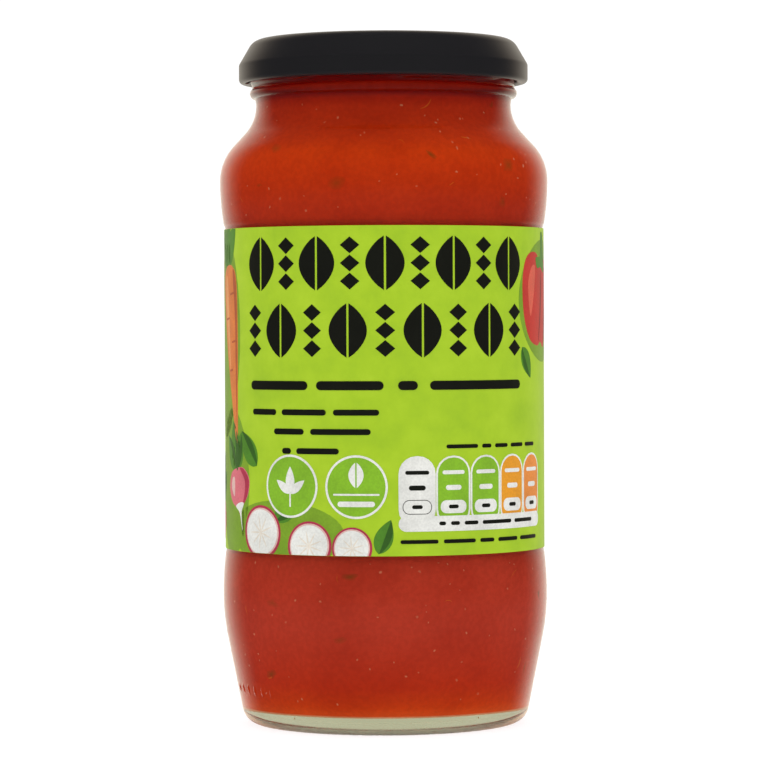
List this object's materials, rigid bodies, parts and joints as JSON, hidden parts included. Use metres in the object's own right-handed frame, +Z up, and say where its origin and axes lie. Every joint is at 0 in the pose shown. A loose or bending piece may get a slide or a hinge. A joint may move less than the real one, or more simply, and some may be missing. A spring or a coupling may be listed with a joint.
{
  "type": "tomato sauce jar",
  "caption": "Round clear glass jar of tomato sauce with a recessed panel, a wrap-around green paper label, a rounded shoulder and a black metal twist-off lid.",
  "frame": {"origin": "centre of the flat ring that the jar stands on", "axes": "+Z up along the jar's axis; the middle of the label's front faces -Y and its seam faces +Y"},
  "size_m": [0.0754, 0.0754, 0.1572],
  "materials": {
    "glass": "clear, faintly green container glass",
    "sauce": "smooth tomato sauce, wet behind the glass",
    "lid": "black satin lacquer",
    "label": "coated paper, printed green"
  },
  "bodies": {
    "root": {"glass_jar": "glass", "tomato_sauce": "sauce", "metal_lid": "lid", "paper_label": "label"}
  },
  "joints": []
}
